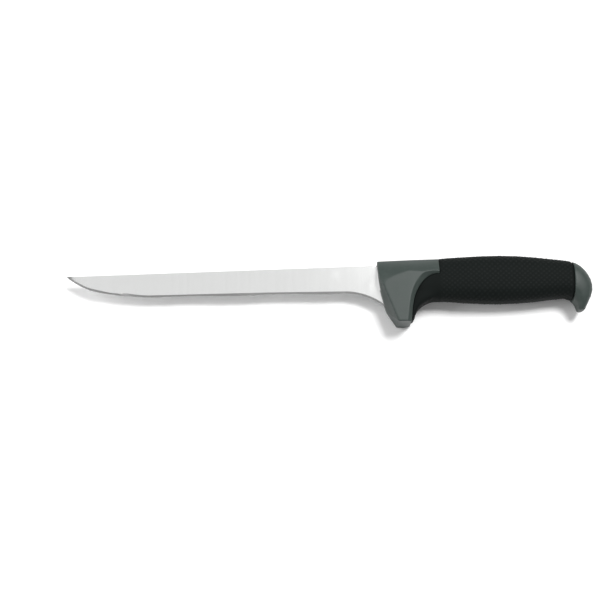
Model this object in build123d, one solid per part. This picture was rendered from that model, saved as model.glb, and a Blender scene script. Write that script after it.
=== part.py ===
from build123d import *
from math import cos, pi, radians, sin
import os

# Fillet knife: a narrow steel blade with a hidden tang, a hard core moulded round the tang,
# and a soft grip moulded over the core. It lies on one flank, on the flat of its guard.
# All lengths are in millimetres. While it is drawn, X runs from the front of the guard to
# the butt, Y runs up to the spine, and Z runs across the knife from its middle plane.

# Blade: a straight spine, and an edge that flares down to the guard
blade_length = 190.5
blade_depth = 16.0
spine_set = 2.6          # the spine lies this far under the top of the handle
tip_drop = 5.6           # the tip lies this far under the spine's start
stock = 2.0              # steel at the guard
tip_stock = 0.9          # steel at the tip
bevel_height = 1.3       # narrow second bevel that makes the edge
bevel_stock = 0.5        # steel where that bevel starts
edge_land = 0.12         # steel left on the edge itself
heel_run = 24.0          # length over which the edge flares, in front of the guard
heel_flare = 11.6        # extra depth of the blade inside the guard

# Tang: the part of the steel that the handle hides
shoulder_set = 3.0       # the full blade goes this far behind the guard's nose
tang_length = 97.0       # from the front of the guard
tang_root = 13.0
tang_end = 8.5
tang_drop = 2.4          # the tang's upper side lies this far under the spine
anchor_hole = 6.0        # the core runs through these
anchor_count = 3
anchor_share = 0.7       # each hole lies this far along its stretch of the tang

# Guard and collar of the core, seen from the side
guard_thickness = 24.0
guard_depth = 38.8       # top of the handle down to the foot of the guard
guard_rake = 5.6         # the nose lies this far behind the top of the front
guard_bow = 1.3          # how far the middle of the front stands ahead of a straight line
nose_level = 32.0        # depth at which the nose meets the blade's heel
nose_thickness = 4.2
front_bevel_level = 8.6  # depth at which the bevel beside the blade starts
foot_front = 12.0
foot_rear = 19.8
collar_length = 37.0
collar_depth = 9.6
collar_rise = 1.2        # the top of the handle climbs this much along the collar
crown_height = 54.0      # height of the oval that rounds the top of the guard
rear_bevel_drop = 2.3    # the bevel behind the guard comes down this far on each flank
rear_bevel_width = 4.2

# Barrel of the handle: an oval that swells in the palm
palm_thickness = 23.9    # a little under the guard's, so that the guard's flat carries the knife
palm_height = 29.4
neck_inset = 23.0        # the barrel starts this far inside the collar
grip_wall = 2.2
lip_depth = 1.0          # channels in the core that hold the ends of the grip
lip_width = 4.0
parting_width = 1.0      # thin groove between the grip and the butt
parting_depth = 0.7

# Butt: the barrel bends round the little finger and ends in a hook
butt_start = 112.0
grip_end = 117.0
hook_level = 31.0        # depth of the centre that the hook bends round
hook_bore = 7.6          # radius inside the hook
butt_radius = 30.6       # from that centre to the top of the handle

# Finger stop: the tongue of the grip that covers the rear of the guard
stop_thickness = 17.0
stop_foot = 2.0          # its length at its foot
stop_run = 14.6          # its length where it leaves the barrel
stop_lift = 1.4          # its foot lies this far above the foot of the guard
stop_round = 2.0

overrun = 5.0            # cuts run past what they cut by this much

# Blade stations: share of the blade's length from the guard, share of its depth
blade_shares = (
    (1.000, 0.020), (0.990, 0.118), (0.975, 0.240), (0.950, 0.412), (0.920, 0.566),
    (0.880, 0.692), (0.830, 0.794), (0.766, 0.880), (0.690, 0.922), (0.535, 0.942),
    (0.380, 0.970), (0.227, 1.000), (0.126, 1.024),
)
# Heel stations: share of the flare's run, share of the extra depth
heel_shares = (
    (0.17, 0.00), (0.34, 0.05), (0.50, 0.15), (0.67, 0.32), (0.80, 0.49), (0.90, 0.66), (1.00, 0.90),
)

# Rear line of the guard: shares from the foot's rear corner to the collar's lower corner,
# and the share of the bevel's width at that point
rear_shares = (
    (0.00, 0.00, 0.56), (0.05, 0.30, 0.52), (0.14, 0.55, 0.66),
    (0.35, 0.79, 1.00), (0.61, 0.94, 0.90), (1.00, 1.00, 0.50),
)
# Plan of the guard, from before its front to behind the collar: share of the collar's length,
# share of the guard's thickness
crown_shares = ((-0.14, 0.86), (0.10, 1.045), (0.32, 1.13), (0.50, 1.21), (0.76, 1.16), (1.14, 1.035))
crown_fullness = 2.4

# Barrel stations from the neck to the butt: share of the way along, share of the palm's
# height over the middle line and under it, and share of the palm's thickness
barrel_shares = (
    (0.00, 0.405, 0.432, 0.750), (0.11, 0.415, 0.443, 0.775), (0.20, 0.431, 0.447, 0.812),
    (0.28, 0.459, 0.452, 0.875), (0.40, 0.480, 0.476, 0.945), (0.51, 0.496, 0.494, 0.990),
    (0.61, 0.501, 0.501, 1.000), (0.72, 0.490, 0.486, 0.990), (0.83, 0.458, 0.457, 0.963),
    (0.92, 0.424, 0.418, 0.943),
)
middle_share = 0.405     # depth of the barrel's middle line, as a share of the palm's height
barrel_fullness = 2.6
# Butt stations: degrees round the hook's centre, shares of the hook's bore, of the butt's
# radius and of the palm's thickness
butt_shares = (
    (90, 1.00, 1.000, 0.930), (83, 1.00, 0.988, 0.929), (76, 1.00, 0.966, 0.925),
    (70, 1.00, 0.939, 0.916), (64, 1.00, 0.900, 0.902), (57, 1.00, 0.851, 0.877),
    (50, 1.00, 0.797, 0.847), (43, 1.00, 0.738, 0.808), (36, 1.00, 0.668, 0.762),
    (28, 1.00, 0.573, 0.700), (14, 1.00, 0.440, 0.590), (5, 1.00, 0.395, 0.520),
    (0, 1.02, 0.375, 0.450), (-2.5, 1.08, 0.352, 0.340),
)
# Stop stations: share of the way down from the barrel, share of the way from its length there
# to its length at the foot, and share of its thickness
stop_shares = (
    (-0.90, 0.00, 1.00), (0.00, 0.00, 1.00), (0.12, 0.33, 1.00), (0.28, 0.61, 1.00),
    (0.50, 0.83, 1.00), (0.75, 0.96, 1.00), (0.95, 1.00, 1.00), (1.00, 1.03, 0.92),
)
oval_arc_count = 8       # arcs in each oval
core_side_count = 12     # flat sides of the core under the grip
grip_station_count = 8   # butt stations that take a barrel past the end of the grip

half_guard = guard_thickness / 2
half_palm = palm_thickness / 2
middle_level = -middle_share * palm_height
shoulder = guard_rake + shoulder_set
far = blade_length       # past everything, for cuts that open to one side


def along(start, end, share):
    """A place between two others."""
    return start + share * (end - start)


def oval_point(plane, turn, half_width, half_height, fullness):
    """A point of an oval: an ellipse at a fullness of 2, squarer above that."""
    wide, high = cos(2 * pi * turn), sin(2 * pi * turn)
    reach = (abs(wide) ** fullness + abs(high) ** fullness) ** (-1 / fullness)
    return plane.from_local_coords((reach * wide * half_width, reach * high * half_height))


def oval(plane, *size):
    """A closed oval of short arcs, with an arc over each side and round each corner."""
    arcs = []
    for arc in range(oval_arc_count):
        ends = [oval_point(plane, (arc + share) / oval_arc_count, *size) for share in (-0.5, 0, 0.5)]
        arcs.append(ThreePointArc(*ends))
    return Wire(arcs)


def flat_sided(plane, *size):
    """The same oval with flat sides, which keep the grip from turning on the core."""
    corners = [oval_point(plane, side / core_side_count, *size) for side in range(core_side_count)]
    return Wire(Polyline(*corners, close=True).edges())


def across_plane(x, y):
    """The plane across the knife at one station, with its height along Y."""
    return Plane(origin=(x, y, 0), x_dir=(0, 0, 1), z_dir=(-1, 0, 0))


def side_prism(outline, half_width):
    """A side view given its thickness, evenly about the middle plane."""
    return extrude(make_face(outline), amount=half_width, dir=(0, 0, 1), both=True)


def slab(start, end):
    """Everything between two stations along the knife."""
    return Pos((start + end) / 2, 0, 0) * Box(end - start, 2 * far, 2 * far)


# Blade and tang
def spine_at(x):
    """Height of the blade's spine, which drops evenly towards the tip."""
    return -spine_set + tip_drop * x / blade_length


def blade_section(x, depth):
    """One cross section of the blade: flat ground from the spine, with a narrow edge bevel."""
    spine = spine_at(x)
    thick = along(stock, tip_stock, max(0, -x / blade_length))
    edge = spine - depth
    bevel = min(bevel_height, depth / 3)
    corners = ((spine, thick), (edge + bevel, min(bevel_stock, thick)), (edge, edge_land))
    left = [(x, y, -across / 2) for y, across in corners]
    right = [(x, y, across / 2) for y, across in reversed(corners)]
    return Wire(Polyline(*left, *right, close=True).edges())


def make_ground_blade():
    """The blade from its tip to the shoulder that the guard hides."""
    sections = []
    for length_share, depth_share in blade_shares:
        sections.append(blade_section(-length_share * blade_length, depth_share * blade_depth))
    heel_depth = blade_shares[-1][1] * blade_depth
    for run_share, flare_share in heel_shares:
        x = along(-heel_run, guard_rake, run_share)
        sections.append(blade_section(x, heel_depth + flare_share * heel_flare))
    sections.append(blade_section(shoulder, heel_depth + heel_flare))
    return Solid.make_loft(sections)


def make_tang():
    """A tapered bar of plain stock with holes, round at its end."""
    top = -spine_set - tang_drop
    outline = Polyline(
        (0, top),
        (tang_length, top),
        (tang_length, top - tang_end),
        (shoulder, top - tang_root),
        (0, top - tang_root),
        close=True,
    )
    tang = side_prism(outline, stock / 2)
    tang = fillet(tang.edges().filter_by(Axis.Z).group_by(Axis.X)[-1], tang_end / 3)
    for hole in range(anchor_count):
        share = (hole + anchor_share) / anchor_count
        x = along(shoulder, tang_length, share)
        y = top - along(tang_root, tang_end, share) / 2
        tang -= Pos(x, y, 0) * Cylinder(anchor_hole / 2, stock + overrun)
    return tang


# Guard and collar
def rear_line(inward):
    """The guard's rear line, drawn in by a share of the bevel's width."""
    points = []
    for x_share, y_share, bevel_share in rear_shares:
        x = along(foot_rear, collar_length, x_share)
        y = along(-guard_depth, -collar_depth, y_share)
        shift = inward * bevel_share * rear_bevel_width
        upward = y_share ** 3
        points.append((x - shift * (1 - upward), y + shift * upward))
    return points


def guard_wire(height, inward):
    """The guard's side view at one height across the knife, open to above."""
    rear = rear_line(inward)
    bow = (guard_rake / 2 - guard_bow, -nose_level / 2)
    edges = [
        Line((collar_length, overrun), (0, overrun)),
        Line((0, overrun), (0, 0)),
        ThreePointArc((0, 0), bow, (guard_rake, -nose_level)),
        Line((guard_rake, -nose_level), (foot_front, -guard_depth)),
        Line((foot_front, -guard_depth), rear[0]),
        Spline(*rear),
        Line(rear[-1], (collar_length, overrun)),
    ]
    return Pos(0, 0, height) * Wire(edges)


def make_crown():
    """A tall rounded body that gives the guard its round top and its swelling flanks."""
    sections = []
    for x_share, thick_share in crown_shares:
        plane = across_plane(x_share * collar_length, x_share * collar_rise - crown_height / 2)
        sections.append(oval(plane, thick_share * half_guard, crown_height / 2, crown_fullness))
    return Solid.make_loft(sections, True)


def make_guard():
    """Flat flanks, a bevel beside the blade, a bevel behind, and a round top."""
    low = half_guard - rear_bevel_drop
    levels = ((-half_guard, 1), (-low, 0), (low, 0), (half_guard, 1))
    guard = Solid.make_loft([guard_wire(height, inward) for height, inward in levels], True)
    guard &= make_crown()
    for side in (1, -1):
        start = Vector(0, -front_bevel_level, side * half_guard)
        foot = Vector(foot_front, -guard_depth, side * half_guard)
        nose = Vector(guard_rake, -nose_level, side * nose_thickness / 2)
        inward = (foot - start).cross(nose - start) * side
        guard = split(guard, bisect_by=Plane(origin=start, z_dir=inward), keep=Keep.TOP)
    return guard


# Barrel and butt
def make_barrel(inset, butt_stations, section):
    """The handle's barrel with some or all of its butt, made smaller all round by an inset."""
    start = collar_length - neck_inset
    sections = []
    for x_share, over_share, under_share, thick_share in barrel_shares:
        over = over_share * palm_height - inset
        under = under_share * palm_height - inset
        plane = across_plane(along(start, butt_start, x_share), middle_level + (over - under) / 2)
        half_width = thick_share * half_palm - inset
        sections.append(section(plane, half_width, (over + under) / 2, barrel_fullness))
    for degrees, bore_share, radius_share, thick_share in butt_stations:
        inner = bore_share * hook_bore + inset
        outer = radius_share * butt_radius - inset
        plane = hook_plane(degrees, inner, outer)
        half_width = thick_share * half_palm - inset
        sections.append(section(plane, half_width, (outer - inner) / 2, barrel_fullness))
    return Solid.make_loft(sections, True)


def hook_plane(degrees, inner, outer):
    """The plane across the butt half way between two radii, turned round the hook's centre."""
    turn = radians(degrees)
    middle = (inner + outer) / 2
    origin = (butt_start + middle * cos(turn), -hook_level + middle * sin(turn), 0)
    return Plane(origin=origin, x_dir=(0, 0, 1), z_dir=(-sin(turn), cos(turn), 0))


# Grip
def make_stop():
    """The tongue behind the guard: a finger stop that curves up into the barrel."""
    foot_level = stop_lift - guard_depth
    join_level = -2 * middle_share * palm_height
    sections = []
    for drop_share, run_share, thick_share in stop_shares:
        level = along(join_level, foot_level, drop_share)
        plane = Plane(origin=(foot_front, level, 0), x_dir=(1, 0, 0), z_dir=(0, 1, 0))
        reach = foot_rear - foot_front + along(stop_run, stop_foot, run_share)
        outline = plane * RectangleRounded(2 * reach, thick_share * stop_thickness, stop_round)
        sections.append(outline.wire())
    return Solid.make_loft(sections, True)


def make_grip_zone():
    """Everything behind the guard and the collar, up to the parting groove."""
    rear = rear_line(0)
    edges = [
        Spline(*rear),
        Line(rear[-1], (collar_length, far)),
        Line((collar_length, far), (grip_end, far)),
        Line((grip_end, far), (grip_end, -far)),
        Line((grip_end, -far), (foot_rear, -far)),
        Line((foot_rear, -far), rear[0]),
    ]
    return side_prism(edges, far)


# Assembly
full_barrel = make_barrel(0, butt_shares, oval)
through_grip = butt_shares[:grip_station_count]
inner_barrel = make_barrel(grip_wall, through_grip, flat_sided)
lip_barrel = make_barrel(grip_wall + lip_depth, through_grip, flat_sided)
groove_barrel = make_barrel(parting_depth, through_grip, oval)

blade = make_ground_blade() + make_tang()

core_barrel = inner_barrel & slab(0, grip_end + parting_width)
for lip_start in (collar_length + lip_width, grip_end - 2 * lip_width):
    lip = slab(lip_start, lip_start + lip_width)
    core_barrel = (core_barrel - lip) + (lip_barrel & lip)
core_skin = core_barrel + make_guard() + (full_barrel & slab(grip_end, far))
core = core_skin - blade

groove = slab(grip_end - parting_width, grip_end + overrun)
grip_barrel = (full_barrel - groove) + (groove_barrel & groove)
grip = ((grip_barrel + make_stop()) & make_grip_zone()) - core_skin

parts = {"blade": blade, "handle_core": core, "grip_sleeve": grip}
whole = Compound(children=[Part(shape.wrapped) for shape in parts.values()]).bounding_box()
to_origin = Pos(-whole.center().X, -whole.center().Y, -whole.min.Z)
os.makedirs("parts", exist_ok=True)
for name, shape in parts.items():
    shape = to_origin * shape
    shape.label = name
    export_step(shape, f"parts/{name}.step")
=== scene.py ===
from math import atan2, cos, pi, radians, sin, tau

import bmesh
import bpy
from mathutils import Matrix, Vector, noise


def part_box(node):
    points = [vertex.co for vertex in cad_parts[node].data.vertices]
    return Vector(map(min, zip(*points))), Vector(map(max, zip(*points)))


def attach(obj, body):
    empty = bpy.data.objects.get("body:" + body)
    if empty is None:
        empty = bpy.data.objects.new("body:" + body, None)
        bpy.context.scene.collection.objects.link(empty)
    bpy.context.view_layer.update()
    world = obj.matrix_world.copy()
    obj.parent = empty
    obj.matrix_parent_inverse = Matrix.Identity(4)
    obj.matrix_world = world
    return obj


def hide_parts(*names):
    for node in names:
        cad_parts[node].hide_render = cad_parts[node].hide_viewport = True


# Fillet knife: a satin blade, a hard slate core with its guard and hooked butt, and a black
# rubber grip moulded over the core. It lies on one flank with its edge towards the camera.
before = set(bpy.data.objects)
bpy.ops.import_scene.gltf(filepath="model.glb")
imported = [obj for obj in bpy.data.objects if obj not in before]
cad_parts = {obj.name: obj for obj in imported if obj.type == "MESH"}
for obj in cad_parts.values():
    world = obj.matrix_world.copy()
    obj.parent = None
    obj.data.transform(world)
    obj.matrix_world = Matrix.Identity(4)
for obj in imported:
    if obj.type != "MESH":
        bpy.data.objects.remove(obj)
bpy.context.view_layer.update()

mm = 0.001

# Places on the knife, read from the fixed frame
core_low, core_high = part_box("handle_core")
collar_rise = 1.2 * mm                 # the core's top behind the guard is this much higher
middle_depth = 11.9 * mm               # from the top of the guard down to the handle's middle line
middle_plane = (core_low.z + core_high.z) / 2
top_of_guard = Vector((core_low.x, core_high.y - collar_rise, middle_plane))
middle_height = top_of_guard.y - middle_depth
collar_end = core_low.x + 37 * mm
grip_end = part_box("grip_sleeve")[1].x

# Meshes
weld = 0.001 * mm                      # corners this close are one point
same_place = 10 * weld
core_voxel = 0.33 * mm
grip_voxel = 0.345 * mm
hard_rounds = 4                        # rounds of smoothing, which make sharp edges moulded ones
soft_rounds = 4
seam_margin = 2.5 * mm                 # the core is out of sight from this far inside a seam
hidden_flatness = radians(1.5)         # hidden faces join where they turn less than this
facing_core = -0.3                     # rubber that turns inwards more than this touches the core

# Raised pads of the grip
pads_around = 26
pad_pitch = 1.6 * mm                   # from one row to the next
pad_depth = 0.2 * mm                   # the valleys lie this far under the tops
pad_fade = 2.2 * mm                    # the pads fade out over this length at each end
pad_turn = (0.2, 0.5)                  # they grow as the surface turns outwards by these shares
pad_roundness = 0.8
pad_unevenness = 0.35                  # the lowest pads lack this share of the height

# Rubber behind the guard, for the fingers
stop_front = core_low.x + 25.8 * mm    # the guard's rear edge, at the height of stop_top
stop_top = top_of_guard.y - 14 * mm
stop_lean = 0.31                       # each mm down, the rear edge comes forward by this much
stop_end = core_low.x + 52 * mm
stop_softening = ((1.0 * mm, 15), (1.8 * mm, 35), (3.0 * mm, 90))   # margin and rounds

# Blade
spine_round = 0.15 * mm
spine_segments = 2
blade_flatness = radians(0.5)          # flat faces of the blade join under this turn
blade_sharpness = radians(12)          # edges over this turn stay sharp
square_on = 0.8                        # a face counts as square to an axis from this share on
half_stock = 1.0 * mm
tang_level = 4 * mm                    # the tang's step lies lower than this under the guard's top
tang_ramp = 8 * mm

# Finishes: base colours, and roughness from the first end of a mask to the other
steel_dull, steel_bright = (0.70, 0.705, 0.70), (0.74, 0.745, 0.74)
steel_roughness = (0.11, 0.19)
steel_smear = 0.05                     # handled patches are this much rougher
slate_dark, slate_light = (0.029, 0.040, 0.036), (0.037, 0.050, 0.045)
slate_handled = (0.043, 0.057, 0.051)
slate_roughness = (0.5, 0.58)
rubber_dark, rubber_light = (0.0044, 0.0060, 0.0055), (0.0060, 0.0080, 0.0074)
# painted highlight: the pad tops are coloured lighter than the rubber between them
rubber_painted_highlight = (0.0088, 0.0112, 0.0106)
rubber_roughness = (0.72, 0.56)

# Streaks of the steel, per metre along, across and through the blade
ground_lines = (5200.0, 130.0, 130.0)
ground_slant = 0.02
ground_bands = (420.0, 14.0, 14.0)

# Camera, from the top of the guard
camera_place = Vector((-25.84, -147.55, 594.49)) * mm
camera_target = Vector((-46.91, -23.43, 0)) * mm
camera_roll = radians(0.07)
camera_lens = 60                       # Blender takes these two in millimetres
camera_sensor = 36

# Paper sweep, in metres from the middle of the knife
flat_radius = 1.3
far_radius = 2.1
far_height = 0.8
arc_steps = 12
turn_steps = 96
floor_drop = 0.02 * mm                 # keeps the paper clear of the facet that lies on it
paper_near, paper_far = (0.95, 0.95, 0.95), (0.2, 0.2, 0.2)
paper_change = (0.4, 0.85)
glow_change, glow_levels = (0.3, 0.8), (0.05, 0.88)
wall_change, wall_levels = (0.0, 0.2), (1.0, 0.72)

# Light
room_level = 0.32
lamps = (                              # name, place, width, depth and watts
    ("overhead", (-0.28, 0.18, 1.1), 1.1, 0.34, 0.8),
    ("behind_spine", (0.5, 0.44, 1.4), 0.42, 0.42, 21.5),
    ("left", (-0.9, 0.1, 0.6), 0.4, 0.6, 5.5),
)


# Mesh helpers
def add_object(name, data):
    """A new object in the scene."""
    thing = bpy.data.objects.new(name, data)
    bpy.context.scene.collection.objects.link(thing)
    return thing


def open_mesh(piece):
    """A piece's mesh, ready to be worked on."""
    shape = bmesh.new()
    shape.from_mesh(piece.data)
    return shape


def close_mesh(shape, piece):
    """Writes a worked mesh into a piece."""
    shape.to_mesh(piece.data)
    shape.free()


def copy_of(node, name):
    """A new object with a welded copy of a CAD node's mesh."""
    piece = add_object(name, bpy.data.meshes.new(name))
    shape = open_mesh(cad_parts[node])
    bmesh.ops.remove_doubles(shape, verts=shape.verts, dist=weld)
    close_mesh(shape, piece)
    return piece


def apply_modifiers(piece):
    """Turns what a piece's modifiers make into its mesh."""
    bpy.context.view_layer.update()
    made = piece.evaluated_get(bpy.context.evaluated_depsgraph_get())
    result = bpy.data.meshes.new_from_object(made)
    piece.modifiers.clear()
    old = piece.data
    piece.data = result
    bpy.data.meshes.remove(old)
    result.name = piece.name


def smooth(points, shape, rounds):
    """Draws points towards the middle of their neighbours, round after round."""
    for _ in range(rounds):
        bmesh.ops.smooth_vert(
            shape, verts=points, factor=0.5, use_axis_x=True, use_axis_y=True, use_axis_z=True,
        )


def remesh(piece, voxel, rounds):
    """An even mesh of small faces, with its sharp edges rounded as on a moulding."""
    even = piece.modifiers.new("even faces", "REMESH")
    even.mode = "VOXEL"
    even.voxel_size = voxel
    even.use_smooth_shade = True
    apply_modifiers(piece)
    shape = open_mesh(piece)
    smooth(shape.verts, shape, rounds)
    close_mesh(shape, piece)


def thin_out(piece, hidden):
    """Fewer faces where a test says that a point can't be seen."""
    shape = open_mesh(piece)
    shape.normal_update()
    points = [v for v in shape.verts if hidden(v)]
    inside = set(points)
    edges = [e for e in shape.edges if e.verts[0] in inside and e.verts[1] in inside]
    bmesh.ops.dissolve_limit(
        shape, angle_limit=hidden_flatness, verts=points, edges=edges,
        use_dissolve_boundaries=False,
    )
    bmesh.ops.triangulate(shape, faces=[f for f in shape.faces if len(f.verts) > 4])
    close_mesh(shape, piece)


def smooth_shade(piece, sharp_angle):
    """Smooth shading that keeps edges sharper than an angle."""
    for face in piece.data.polygons:
        face.use_smooth = True
    piece.data.set_sharp_from_angle(angle=sharp_angle)


def cover(piece, material):
    """Gives a piece one material all over."""
    piece.data.materials.clear()
    piece.data.materials.append(material)


def ramp(value, start, end):
    """From 0 at the start to 1 at the end, and level outside them."""
    share = min(max((value - start) / (end - start), 0.0), 1.0)
    return share * share * (3 - 2 * share)


# Material helpers
def new_material(name):
    """A new material with its node tree and its shader."""
    material = bpy.data.materials.new(name)
    material.use_nodes = True
    return material, material.node_tree, material.node_tree.nodes["Principled BSDF"]


def add(tree, kind, inputs=None, **settings):
    """A node with its settings and the values or links of its inputs."""
    node = tree.nodes.new(kind)
    for name, value in settings.items():
        setattr(node, name, value)
    for name, value in (inputs or {}).items():
        if isinstance(value, bpy.types.NodeSocket):
            tree.links.new(value, node.inputs[name])
        else:
            node.inputs[name].default_value = value
    return node


def combine(tree, operation, first, second):
    """Two values added or multiplied."""
    return add(tree, "ShaderNodeMath", {0: first, 1: second}, operation=operation).outputs["Value"]


def rescale(tree, value, start, end, low=0.0, high=1.0):
    """Goes from low to high while a value goes from start to end."""
    return add(tree, "ShaderNodeMapRange", {
        "Value": value, "From Min": start, "From Max": end, "To Min": low, "To Max": high,
    }).outputs["Result"]


def blend_value(tree, mask, low, high):
    """A value that a mask moves between two others."""
    return rescale(tree, mask, 0.0, 1.0, low, high)


def blend_colour(tree, mask, first, second):
    """A colour that a mask moves between two others."""
    mix = add(tree, "ShaderNodeMix", {"Factor": mask}, data_type="RGBA")
    for socket, colour in (("A", first), ("B", second)):
        target = next(i for i in mix.inputs if i.name == socket and i.type == "RGBA")
        if isinstance(colour, bpy.types.NodeSocket):
            tree.links.new(colour, target)
        else:
            target.default_value = (*colour, 1.0)
    return next(o for o in mix.outputs if o.type == "RGBA")


def object_place(tree):
    """Each point's own place on the object."""
    return add(tree, "ShaderNodeTexCoord").outputs["Object"]


def soft_noise(tree, place, scale, detail, roughness=0.5):
    """Soft noise from 0 to 1."""
    return add(tree, "ShaderNodeTexNoise", {
        "Vector": place, "Scale": scale, "Detail": detail, "Roughness": roughness,
    }).outputs["Fac"]


def streaks(tree, place, per_metre, detail, slant=0.0):
    """Noise that is drawn out more along some axes than along others."""
    drawn = add(tree, "ShaderNodeMapping", {
        "Vector": place, "Scale": per_metre, "Rotation": (0, 0, slant),
    })
    return soft_noise(tree, drawn.outputs["Vector"], 1.0, detail)


def dress(tree, surface, colour, roughness, height, strength, distance):
    """Gives a shader its colour, its roughness and the relief of its surface."""
    bump = add(tree, "ShaderNodeBump", {
        "Height": height, "Strength": strength, "Distance": distance,
    })
    tree.links.new(colour, surface.inputs["Base Color"])
    tree.links.new(roughness, surface.inputs["Roughness"])
    tree.links.new(bump.outputs["Normal"], surface.inputs["Normal"])


# Effects that several finishes share
def group_tree(name, inputs, outputs):
    """A node group with named float inputs and outputs, and its two end nodes."""
    tree = bpy.data.node_groups.new(name, "ShaderNodeTree")
    for label in inputs:
        tree.interface.new_socket(label, in_out="INPUT", socket_type="NodeSocketFloat")
    for label in outputs:
        tree.interface.new_socket(label, in_out="OUTPUT", socket_type="NodeSocketFloat")
    return tree, add(tree, "NodeGroupInput"), add(tree, "NodeGroupOutput")


def make_moulded_grain():
    """Fine pitted grain of a moulded surface: a height, and a slow mottling."""
    tree, start, end = group_tree(
        "moulded grain", ("Grains per metre", "Mottle per metre"), ("Height", "Mottle"),
    )
    place = object_place(tree)
    grains = start.outputs["Grains per metre"]
    fine = soft_noise(tree, place, grains, detail=3.0, roughness=0.6)
    pits = add(tree, "ShaderNodeTexVoronoi", {"Vector": place, "Scale": grains, "Randomness": 1.0})
    slow = soft_noise(tree, place, start.outputs["Mottle per metre"], detail=4.0, roughness=0.55)
    height = combine(tree, "ADD", fine, pits.outputs["Distance"])
    tree.links.new(height, end.inputs["Height"])
    tree.links.new(slow, end.inputs["Mottle"])
    return tree


def make_handling_marks():
    """Faint patches rubbed by handling, as a mask."""
    tree, start, end = group_tree("handling marks", ("Patches per metre", "Amount"), ("Mask",))
    per_metre = start.outputs["Patches per metre"]
    patches = soft_noise(tree, object_place(tree), per_metre, detail=6.0, roughness=0.7)
    worn = rescale(tree, patches, start=0.5, end=0.75)
    tree.links.new(combine(tree, "MULTIPLY", worn, start.outputs["Amount"]), end.inputs["Mask"])
    return tree


moulded_grain = make_moulded_grain()
handling_marks = make_handling_marks()


# Finishes
def grain_on(tree, grains, mottle):
    """The moulded grain at a finish's own scale."""
    return add(tree, "ShaderNodeGroup", {
        "Grains per metre": grains, "Mottle per metre": mottle,
    }, node_tree=moulded_grain)


def marks_on(tree, patches):
    """The handling marks at a finish's own scale, as a mask."""
    return add(tree, "ShaderNodeGroup", {
        "Patches per metre": patches, "Amount": 1.0,
    }, node_tree=handling_marks).outputs["Mask"]


def make_steel():
    """Satin stainless steel, ground across the blade in fine lines."""
    material, tree, surface = new_material("satin_steel")
    place = object_place(tree)
    lines = streaks(tree, place, ground_lines, detail=2.0, slant=ground_slant)
    bands = streaks(tree, place, ground_bands, detail=3.0)
    colour = blend_colour(tree, bands, steel_dull, steel_bright)
    smear = combine(tree, "MULTIPLY", marks_on(tree, patches=60.0), steel_smear)
    roughness = combine(tree, "ADD", blend_value(tree, lines, *steel_roughness), smear)
    dress(tree, surface, colour, roughness, lines, strength=0.25, distance=0.01 * mm)
    surface.inputs["Metallic"].default_value = 1.0
    return material


def make_hard_plastic():
    """Slate-grey nylon with a fine moulded grain and a soft gloss."""
    material, tree, surface = new_material("slate_plastic")
    grain = grain_on(tree, grains=2600.0, mottle=90.0)
    marks = marks_on(tree, patches=140.0)
    base = blend_colour(tree, grain.outputs["Mottle"], slate_dark, slate_light)
    colour = blend_colour(tree, marks, base, slate_handled)
    roughness = blend_value(tree, marks, *slate_roughness)
    height = grain.outputs["Height"]
    dress(tree, surface, colour, roughness, height, strength=0.2, distance=0.03 * mm)
    surface.inputs["Specular IOR Level"].default_value = 0.35
    return material


def make_rubber():
    """Matte black rubber whose pad tops are rubbed a little smoother and lightened as a painted
    highlight.
    """
    material, tree, surface = new_material("black_rubber")
    pad = add(tree, "ShaderNodeAttribute", attribute_name="pad").outputs["Fac"]
    grain = grain_on(tree, grains=3600.0, mottle=120.0)
    base = blend_colour(tree, grain.outputs["Mottle"], rubber_dark, rubber_light)
    # The pad tops are coloured lighter: a painted highlight, while the roughness is real rubbing
    colour = blend_colour(tree, pad, base, rubber_painted_highlight)
    roughness = blend_value(tree, pad, *rubber_roughness)
    height = grain.outputs["Height"]
    dress(tree, surface, colour, roughness, height, strength=0.3, distance=0.03 * mm)
    surface.inputs["Specular IOR Level"].default_value = 0.08
    return material


# Blade
def is_spine_corner(edge):
    """Whether an edge is where the spine meets a flank, in front of the guard."""
    return (
        (edge.verts[0].co.x + edge.verts[1].co.x) / 2 < core_low.x
        and max(f.normal.y for f in edge.link_faces) > square_on
        and max(abs(f.normal.z) for f in edge.link_faces) > square_on
    )


def make_blade():
    """The blade and its tang, with the corners of the spine rounded."""
    blade = copy_of("blade", "blade_steel")
    shape = open_mesh(blade)
    # The tang's square front end becomes a long ramp, so that no step shows before the guard
    step = [
        v for v in shape.verts
        if abs(v.co.x - core_low.x) < same_place
        and v.co.y < top_of_guard.y - tang_level
        and abs(abs(v.co.z - middle_plane) - half_stock) < same_place
    ]
    bmesh.ops.translate(shape, verts=step, vec=(tang_ramp, 0, 0))
    bmesh.ops.dissolve_limit(
        shape, angle_limit=blade_flatness, verts=shape.verts, edges=shape.edges,
        use_dissolve_boundaries=False,
    )
    shape.normal_update()
    bmesh.ops.bevel(
        shape, geom=[e for e in shape.edges if is_spine_corner(e)],
        offset=spine_round, offset_type="OFFSET", segments=spine_segments, profile=0.5,
        affect="EDGES", material=-1, clamp_overlap=True,
    )
    close_mesh(shape, blade)
    smooth_shade(blade, blade_sharpness)
    cover(blade, make_steel())
    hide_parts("blade")
    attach(blade, "root")


# Core
def make_core():
    """The hard moulding: the guard and its collar, the butt, and the core under the grip."""
    core = copy_of("handle_core", "core_moulding")
    remesh(core, core_voxel, hard_rounds)
    hidden_start = collar_end + seam_margin
    hidden_end = grip_end - seam_margin
    thin_out(core, lambda v: hidden_start < v.co.x < hidden_end)
    smooth_shade(core, pi)
    cover(core, make_hard_plastic())
    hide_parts("handle_core")
    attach(core, "root")


# Grip
def outward_share(vertex):
    """1 where a vertex faces away from the handle's middle line, and -1 where it faces it."""
    outward = Vector((0, vertex.co.y - middle_height, vertex.co.z - middle_plane)).normalized()
    return vertex.normal.dot(outward)


def faces_core(vertex):
    """Whether a vertex is on the inside of the grip."""
    return outward_share(vertex) < facing_core


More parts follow.
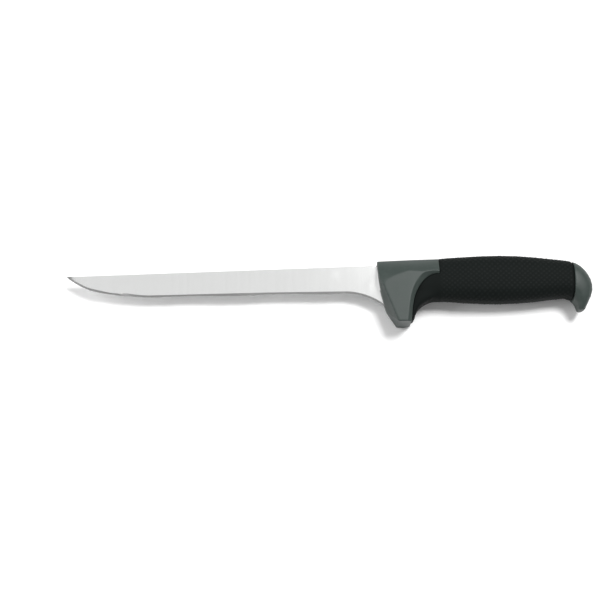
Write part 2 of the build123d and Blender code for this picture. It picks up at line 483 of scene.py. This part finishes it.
def in_finger_stop(place, margin):
    """Whether a place is in the rubber behind the guard, this far from its borders."""
    guard_rear = stop_front + (place.y - stop_top) * stop_lean
    return guard_rear + margin < place.x < stop_end - margin and place.y < stop_top - margin


def soften_finger_stop(grip):
    """Melts the rubber behind the guard into the barrel, more the further it is from the guard."""
    shape = open_mesh(grip)
    shape.normal_update()
    outer = [
        v for v in shape.verts
        if v.co.y < stop_top and v.co.x < stop_end and not faces_core(v)
    ]
    for margin, rounds in stop_softening:
        smooth([v for v in outer if in_finger_stop(v.co, margin)], shape, rounds)
    close_mesh(shape, grip)


def pad_height(place):
    """1 on top of a pad and 0 between pads: round pads in staggered rows round the handle."""
    around = atan2(place.z - middle_plane, place.y - middle_height)
    wave = cos(around * pads_around) * cos(tau * place.x / (2 * pad_pitch))
    uneven = 1 - pad_unevenness * (0.5 + 0.5 * noise.noise(place / pad_pitch))
    return uneven * max(wave, 0.0) ** pad_roundness


def pad_share(place):
    """1 where the pads stand at full height, and 0 at the ends of the grip."""
    front = ramp(place.x, collar_end, collar_end + pad_fade)
    rear = ramp(-place.x, -grip_end, pad_fade - grip_end)
    return front * rear


def raise_pads(grip):
    """Sinks the valleys between the pads; their heights are kept for the roughness and painted
    highlight.
    """
    heights = []
    moved = []
    for vertex in grip.data.vertices:
        share = pad_share(vertex.co) * ramp(outward_share(vertex), *pad_turn)
        height = pad_height(vertex.co)
        heights.append(height * share)
        moved.append(vertex.co - vertex.normal * pad_depth * (1 - height) * share)
    for vertex, place in zip(grip.data.vertices, moved):
        vertex.co = place
    # The heights also drive the painted highlight on the pad tops
    pad = grip.data.attributes.new("pad", "FLOAT", "POINT")
    pad.data.foreach_set("value", heights)


def make_grip():
    """The textured rubber over the core, with the finger stop behind the guard."""
    grip = copy_of("grip_sleeve", "grip_rubber")
    remesh(grip, grip_voxel, soft_rounds)
    soften_finger_stop(grip)
    thin_out(grip, faces_core)
    raise_pads(grip)
    smooth_shade(grip, pi)
    cover(grip, make_rubber())
    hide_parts("grip_sleeve")
    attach(grip, "root")


# Camera
def aimed(place, target):
    """How a camera or lamp stands when it faces a target, with its top towards the spine."""
    back = (place - target).normalized()
    right = Vector((0, 1, 0)).cross(back).normalized()
    turn = Matrix((right, back.cross(right), back)).transposed().to_4x4()
    return Matrix.Translation(place) @ turn


def make_camera():
    """Stands where the photograph was taken from: almost straight over the knife."""
    data = bpy.data.cameras.new("camera")
    data.lens = camera_lens
    data.sensor_width = camera_sensor
    camera = add_object("camera", data)
    level = aimed(top_of_guard + camera_place, top_of_guard + camera_target)
    camera.matrix_world = level @ Matrix.Rotation(camera_roll, 4, "Z")
    bpy.context.scene.camera = camera


# Floor and light
def rays_that_show(tree):
    """1 for rays that show the surroundings: from the camera, in gloss and through glass."""
    path = add(tree, "ShaderNodeLightPath").outputs
    gloss = combine(tree, "ADD", path["Is Camera Ray"], path["Is Glossy Ray"])
    return combine(tree, "ADD", gloss, path["Is Transmission Ray"])


def make_paper():
    """White paper. Far from the knife its white is only shown, and throws no light on the knife."""
    material, tree, surface = new_material("white_floor")
    surface.inputs["Roughness"].default_value = 0.9
    surface.inputs["Specular IOR Level"].default_value = 0.0
    surface.inputs["Emission Color"].default_value = (1.0, 1.0, 1.0, 1.0)
    place = object_place(tree)
    distance = add(tree, "ShaderNodeVectorMath", {0: place}, operation="LENGTH").outputs["Value"]
    height = add(tree, "ShaderNodeSeparateXYZ", {"Vector": place}).outputs["Z"]
    colour = blend_colour(tree, rescale(tree, distance, *paper_change), paper_near, paper_far)
    tree.links.new(colour, surface.inputs["Base Color"])
    white = rescale(tree, distance, *glow_change, *glow_levels)
    wall = rescale(tree, height, *wall_change, *wall_levels)
    level = combine(tree, "MULTIPLY", white, wall)
    glow = combine(tree, "MULTIPLY", rays_that_show(tree), level)
    tree.links.new(glow, surface.inputs["Emission Strength"])
    return material


def make_floor():
    """A round sheet of paper that lies flat under the knife and curves up far away."""
    floor = add_object("floor", bpy.data.meshes.new("floor"))
    shape = bmesh.new()
    bmesh.ops.create_circle(shape, cap_ends=True, segments=turn_steps, radius=flat_radius)
    rim = [e for e in shape.edges if e.is_boundary]
    for step in range(1, arc_steps + 1):
        angle = pi / 2 * step / arc_steps
        radius = flat_radius + (far_radius - flat_radius) * sin(angle)
        height = far_height * (1 - cos(angle))
        grown = bmesh.ops.extrude_edge_only(shape, edges=rim)["geom"]
        points = [g for g in grown if isinstance(g, bmesh.types.BMVert)]
        rim = [g for g in grown if isinstance(g, bmesh.types.BMEdge)]
        for point in points:
            flat = Vector((point.co.x, point.co.y, 0)).normalized() * radius
            point.co = (flat.x, flat.y, height)
    bmesh.ops.translate(shape, verts=shape.verts, vec=(0, 0, -floor_drop))
    bmesh.ops.recalc_face_normals(shape, faces=shape.faces)
    for face in shape.faces:
        face.smooth = len(face.verts) == 4
    close_mesh(shape, floor)
    floor.data.materials.append(make_paper())


def make_room():
    """The even, dim light of a studio's ceiling."""
    world = bpy.data.worlds.new("studio")
    bpy.context.scene.world = world
    world.use_nodes = True
    ceiling = world.node_tree.nodes["Background"]
    ceiling.inputs["Color"].default_value = (1.0, 1.0, 1.0, 1.0)
    ceiling.inputs["Strength"].default_value = room_level


def make_soft_box(name, place, width, depth, watts):
    """A rectangular lamp that faces the knife."""
    data = bpy.data.lights.new(name, "AREA")
    data.shape = "RECTANGLE"
    data.size = width
    data.size_y = depth
    data.energy = watts
    add_object(name, data).matrix_world = aimed(Vector(place), Vector((0, 0, 0)))


make_camera()
make_floor()
make_room()
for lamp in lamps:
    make_soft_box(*lamp)
make_blade()
make_core()
make_grip()

bpy.context.scene.view_settings.view_transform = "Standard"
